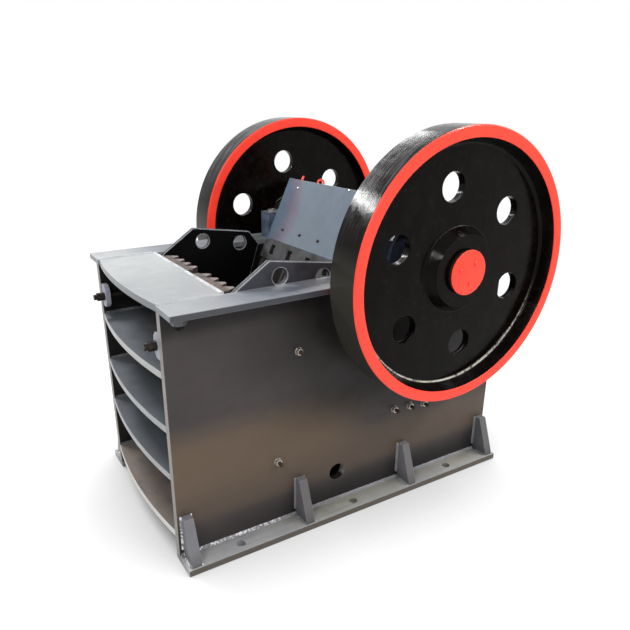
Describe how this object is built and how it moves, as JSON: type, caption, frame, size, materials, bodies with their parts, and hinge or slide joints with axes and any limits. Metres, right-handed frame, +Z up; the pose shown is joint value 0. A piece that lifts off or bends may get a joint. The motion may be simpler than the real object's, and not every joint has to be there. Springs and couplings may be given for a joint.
{
  "type": "jaw crusher",
  "caption": "Single-toggle jaw crusher: welded ribbed box frame, toothed fixed and swing jaws, eccentric shaft and two flywheels with round web holes.",
  "frame": {"origin": "on the floor, at the centre of the foot bolt pattern", "axes": "+X along the eccentric shaft towards the right flywheel, +Y from the ribbed front to the toggle end, +Z up"},
  "size_m": [1.288, 1.5516, 1.474],
  "materials": {
    "cast_iron_dark": "as-cast",
    "dark_bolt_steel": "black oxide, oiled",
    "grey_machine_enamel": "semi-gloss enamel on hot-rolled plate",
    "hub_cap_red_enamel": "gloss enamel",
    "machined_steel": "turned and oiled",
    "manganese_steel": "as-cast, bare",
    "oiled_rod_steel": "bright bar, oiled",
    "red_enamel": "enamel",
    "spring_steel": "painted coil",
    "wheel_black_enamel": "gloss enamel on cast iron"
  },
  "bodies": {
    "frame": {"bearing_base_left": "grey_machine_enamel", "bearing_base_right": "grey_machine_enamel", "bearing_cap_left": "grey_machine_enamel", "bearing_cap_right": "grey_machine_enamel", "bearing_cover_left": "grey_machine_enamel", "bearing_cover_right": "grey_machine_enamel", "cheek_plate_left": "grey_machine_enamel", "cheek_plate_right": "grey_machine_enamel", "fixed_jaw_ledge": "grey_machine_enamel", "fixed_jaw_plate": "manganese_steel", "foot_flange_left": "grey_machine_enamel", "foot_flange_right": "grey_machine_enamel", "foot_gussets_left": "grey_machine_enamel", "foot_gussets_right": "grey_machine_enamel", "front_brackets": "grey_machine_enamel", "front_rib_1": "grey_machine_enamel", "front_rib_2": "grey_machine_enamel", "front_rib_3": "grey_machine_enamel", "front_rib_4": "grey_machine_enamel", "front_top_plate": "grey_machine_enamel", "front_wall": "grey_machine_enamel", "front_wedge_bolts": "dark_bolt_steel", "rear_beam": "grey_machine_enamel", "rear_wall": "grey_machine_enamel", "side_plate_left": "grey_machine_enamel", "side_plate_right": "grey_machine_enamel", "tension_rods": "oiled_rod_steel", "tension_springs": "spring_steel", "toggle_block": "grey_machine_enamel", "toggle_plate": "cast_iron_dark", "toggle_rails": "grey_machine_enamel", "toggle_shims": "oiled_rod_steel", "top_flange_left": "grey_machine_enamel", "top_flange_right": "grey_machine_enamel"},
    "rotor": {"eccentric_shaft": "machined_steel", "flywheel_left": "wheel_black_enamel", "flywheel_right": "wheel_black_enamel", "hub_cap_left": "hub_cap_red_enamel", "hub_cap_right": "hub_cap_red_enamel"},
    "jaw": {"guard_bracket": "grey_machine_enamel", "guard_plate": "grey_machine_enamel", "jaw_clamp_bar": "grey_machine_enamel", "lifting_eyes": "red_enamel", "moving_jaw_plate": "manganese_steel", "swing_jaw": "grey_machine_enamel"}
  },
  "joints": [
    {"name": "shaft_spin", "type": "hinge", "parent": "frame", "child": "rotor", "pos_m": [0, 0.29657, 0.989], "axis": [1, 0, 0], "continuous": true},
    {"name": "jaw_swing", "type": "hinge", "parent": "rotor", "child": "jaw", "pos_m": [0, 0.29657, 0.979], "axis": [1, 0, 0], "continuous": true}
  ],
  "couplings": [
    {"joint": "jaw_swing", "follows": "shaft_spin", "ratio": -1}
  ]
}
